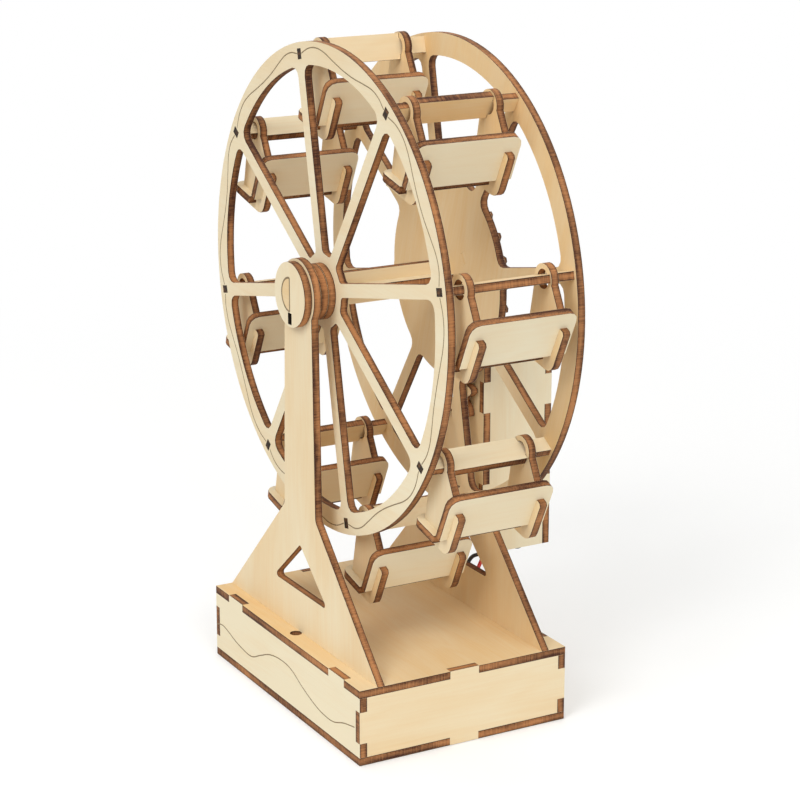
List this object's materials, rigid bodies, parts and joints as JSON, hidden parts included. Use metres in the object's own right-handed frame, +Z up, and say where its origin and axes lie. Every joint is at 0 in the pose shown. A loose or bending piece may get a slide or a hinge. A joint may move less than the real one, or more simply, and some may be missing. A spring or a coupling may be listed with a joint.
{
  "type": "motorised ferris wheel model kit",
  "caption": "Laser cut plywood ferris wheel with upright hanging cabins, turned by a small geared motor in a box on the rear tower, on a finger jointed base box.",
  "frame": {"origin": "centre of the underside of the base box", "axes": "+X along the base's long side, +Y along the wheel's axle from the plain front tower to the tower with the motor box, +Z up"},
  "size_m": [0.1633, 0.0885, 0.208],
  "materials": {
    "plywood": "bare birch plywood, laser cut, dark brown edges",
    "gear_yellow": "moulded plastic",
    "shaft_white": "moulded plastic",
    "can_steel": "plated can",
    "strap_amber": "clear amber plastic",
    "black_plastic": "moulded plastic",
    "cell_jacket": "plain cell sleeve",
    "wire_red": "wire jacket",
    "wire_black": "wire jacket"
  },
  "bodies": {
    "frame": {"base_top_plate": "plywood", "base_bottom_plate": "plywood", "base_front_side": "plywood", "base_rear_side": "plywood", "base_end_plain": "plywood", "base_end_switch": "plywood", "front_tower": "plywood", "rear_tower": "plywood", "motor_box_side_right": "plywood", "motor_box_side_left": "plywood", "motor_box_cover": "plywood", "gearbox_housing": "gear_yellow", "motor_can": "can_steel", "motor_strap": "strap_amber", "battery_tray": "black_plastic", "battery_cells": "cell_jacket", "switch_body": "black_plastic", "wire_black": "wire_black", "wire_red": "wire_red", "switch_lead": "wire_red"},
    "wheel": {"front_ring": "plywood", "rear_ring": "plywood", "drive_gear": "plywood", "gear_pins": "plywood", "axle_upright_strip": "plywood", "axle_flat_strip": "plywood", "axle_end_keys": "plywood", "axle_washers": "plywood", "axle_collar": "plywood", "front_cap": "plywood", "rear_cap": "plywood", "rear_cap_spacer": "plywood", "bar_1": "plywood", "bar_2": "plywood", "bar_3": "plywood", "bar_4": "plywood", "bar_5": "plywood", "bar_6": "plywood", "bar_7": "plywood", "bar_8": "plywood"},
    "pinion": {"pinion": "plywood", "gearbox_shaft": "shaft_white"},
    "switch_knob": {"switch_knob": "black_plastic"},
    "cabin_1": {"cabin_1_end_plates": "plywood", "cabin_1_boards": "plywood"},
    "cabin_2": {"cabin_2_end_plates": "plywood", "cabin_2_boards": "plywood"},
    "cabin_3": {"cabin_3_end_plates": "plywood", "cabin_3_boards": "plywood"},
    "cabin_4": {"cabin_4_end_plates": "plywood", "cabin_4_boards": "plywood"},
    "cabin_5": {"cabin_5_end_plates": "plywood", "cabin_5_boards": "plywood"},
    "cabin_6": {"cabin_6_end_plates": "plywood", "cabin_6_boards": "plywood"},
    "cabin_7": {"cabin_7_end_plates": "plywood", "cabin_7_boards": "plywood"},
    "cabin_8": {"cabin_8_end_plates": "plywood", "cabin_8_boards": "plywood"}
  },
  "joints": [
    {"name": "wheel_spin", "type": "hinge", "parent": "frame", "child": "wheel", "pos_m": [0, 0, 0.133], "axis": [0, 1, 0], "continuous": true},
    {"name": "pinion_spin", "type": "hinge", "parent": "frame", "child": "pinion", "pos_m": [0, 0.0245, 0.09572], "axis": [0, 1, 0], "continuous": true},
    {"name": "switch_slide", "type": "slide", "parent": "frame", "child": "switch_knob", "axis": [0, 1, 0], "range_m": [0, 0.003]},
    {"name": "cabin_1_hang", "type": "hinge", "parent": "wheel", "child": "cabin_1", "pos_m": [-0.01438, 0, 0.20304], "axis": [0, 1, 0], "continuous": true},
    {"name": "cabin_2_hang", "type": "hinge", "parent": "wheel", "child": "cabin_2", "pos_m": [0.03936, 0, 0.19269], "axis": [0, 1, 0], "continuous": true},
    {"name": "cabin_3_hang", "type": "hinge", "parent": "wheel", "child": "cabin_3", "pos_m": [0.07004, 0, 0.14738], "axis": [0, 1, 0], "continuous": true},
    {"name": "cabin_4_hang", "type": "hinge", "parent": "wheel", "child": "cabin_4", "pos_m": [0.05969, 0, 0.09364], "axis": [0, 1, 0], "continuous": true},
    {"name": "cabin_5_hang", "type": "hinge", "parent": "wheel", "child": "cabin_5", "pos_m": [0.01438, 0, 0.06296], "axis": [0, 1, 0], "continuous": true},
    {"name": "cabin_6_hang", "type": "hinge", "parent": "wheel", "child": "cabin_6", "pos_m": [-0.03936, 0, 0.07331], "axis": [0, 1, 0], "continuous": true},
    {"name": "cabin_7_hang", "type": "hinge", "parent": "wheel", "child": "cabin_7", "pos_m": [-0.07004, 0, 0.11862], "axis": [0, 1, 0], "continuous": true},
    {"name": "cabin_8_hang", "type": "hinge", "parent": "wheel", "child": "cabin_8", "pos_m": [-0.05969, 0, 0.17236], "axis": [0, 1, 0], "continuous": true}
  ],
  "couplings": [
    {"joint": "pinion_spin", "follows": "wheel_spin", "ratio": -3},
    {"joint": "cabin_1_hang", "follows": "wheel_spin", "ratio": -1},
    {"joint": "cabin_2_hang", "follows": "wheel_spin", "ratio": -1},
    {"joint": "cabin_3_hang", "follows": "wheel_spin", "ratio": -1},
    {"joint": "cabin_4_hang", "follows": "wheel_spin", "ratio": -1},
    {"joint": "cabin_5_hang", "follows": "wheel_spin", "ratio": -1},
    {"joint": "cabin_6_hang", "follows": "wheel_spin", "ratio": -1},
    {"joint": "cabin_7_hang", "follows": "wheel_spin", "ratio": -1},
    {"joint": "cabin_8_hang", "follows": "wheel_spin", "ratio": -1}
  ]
}
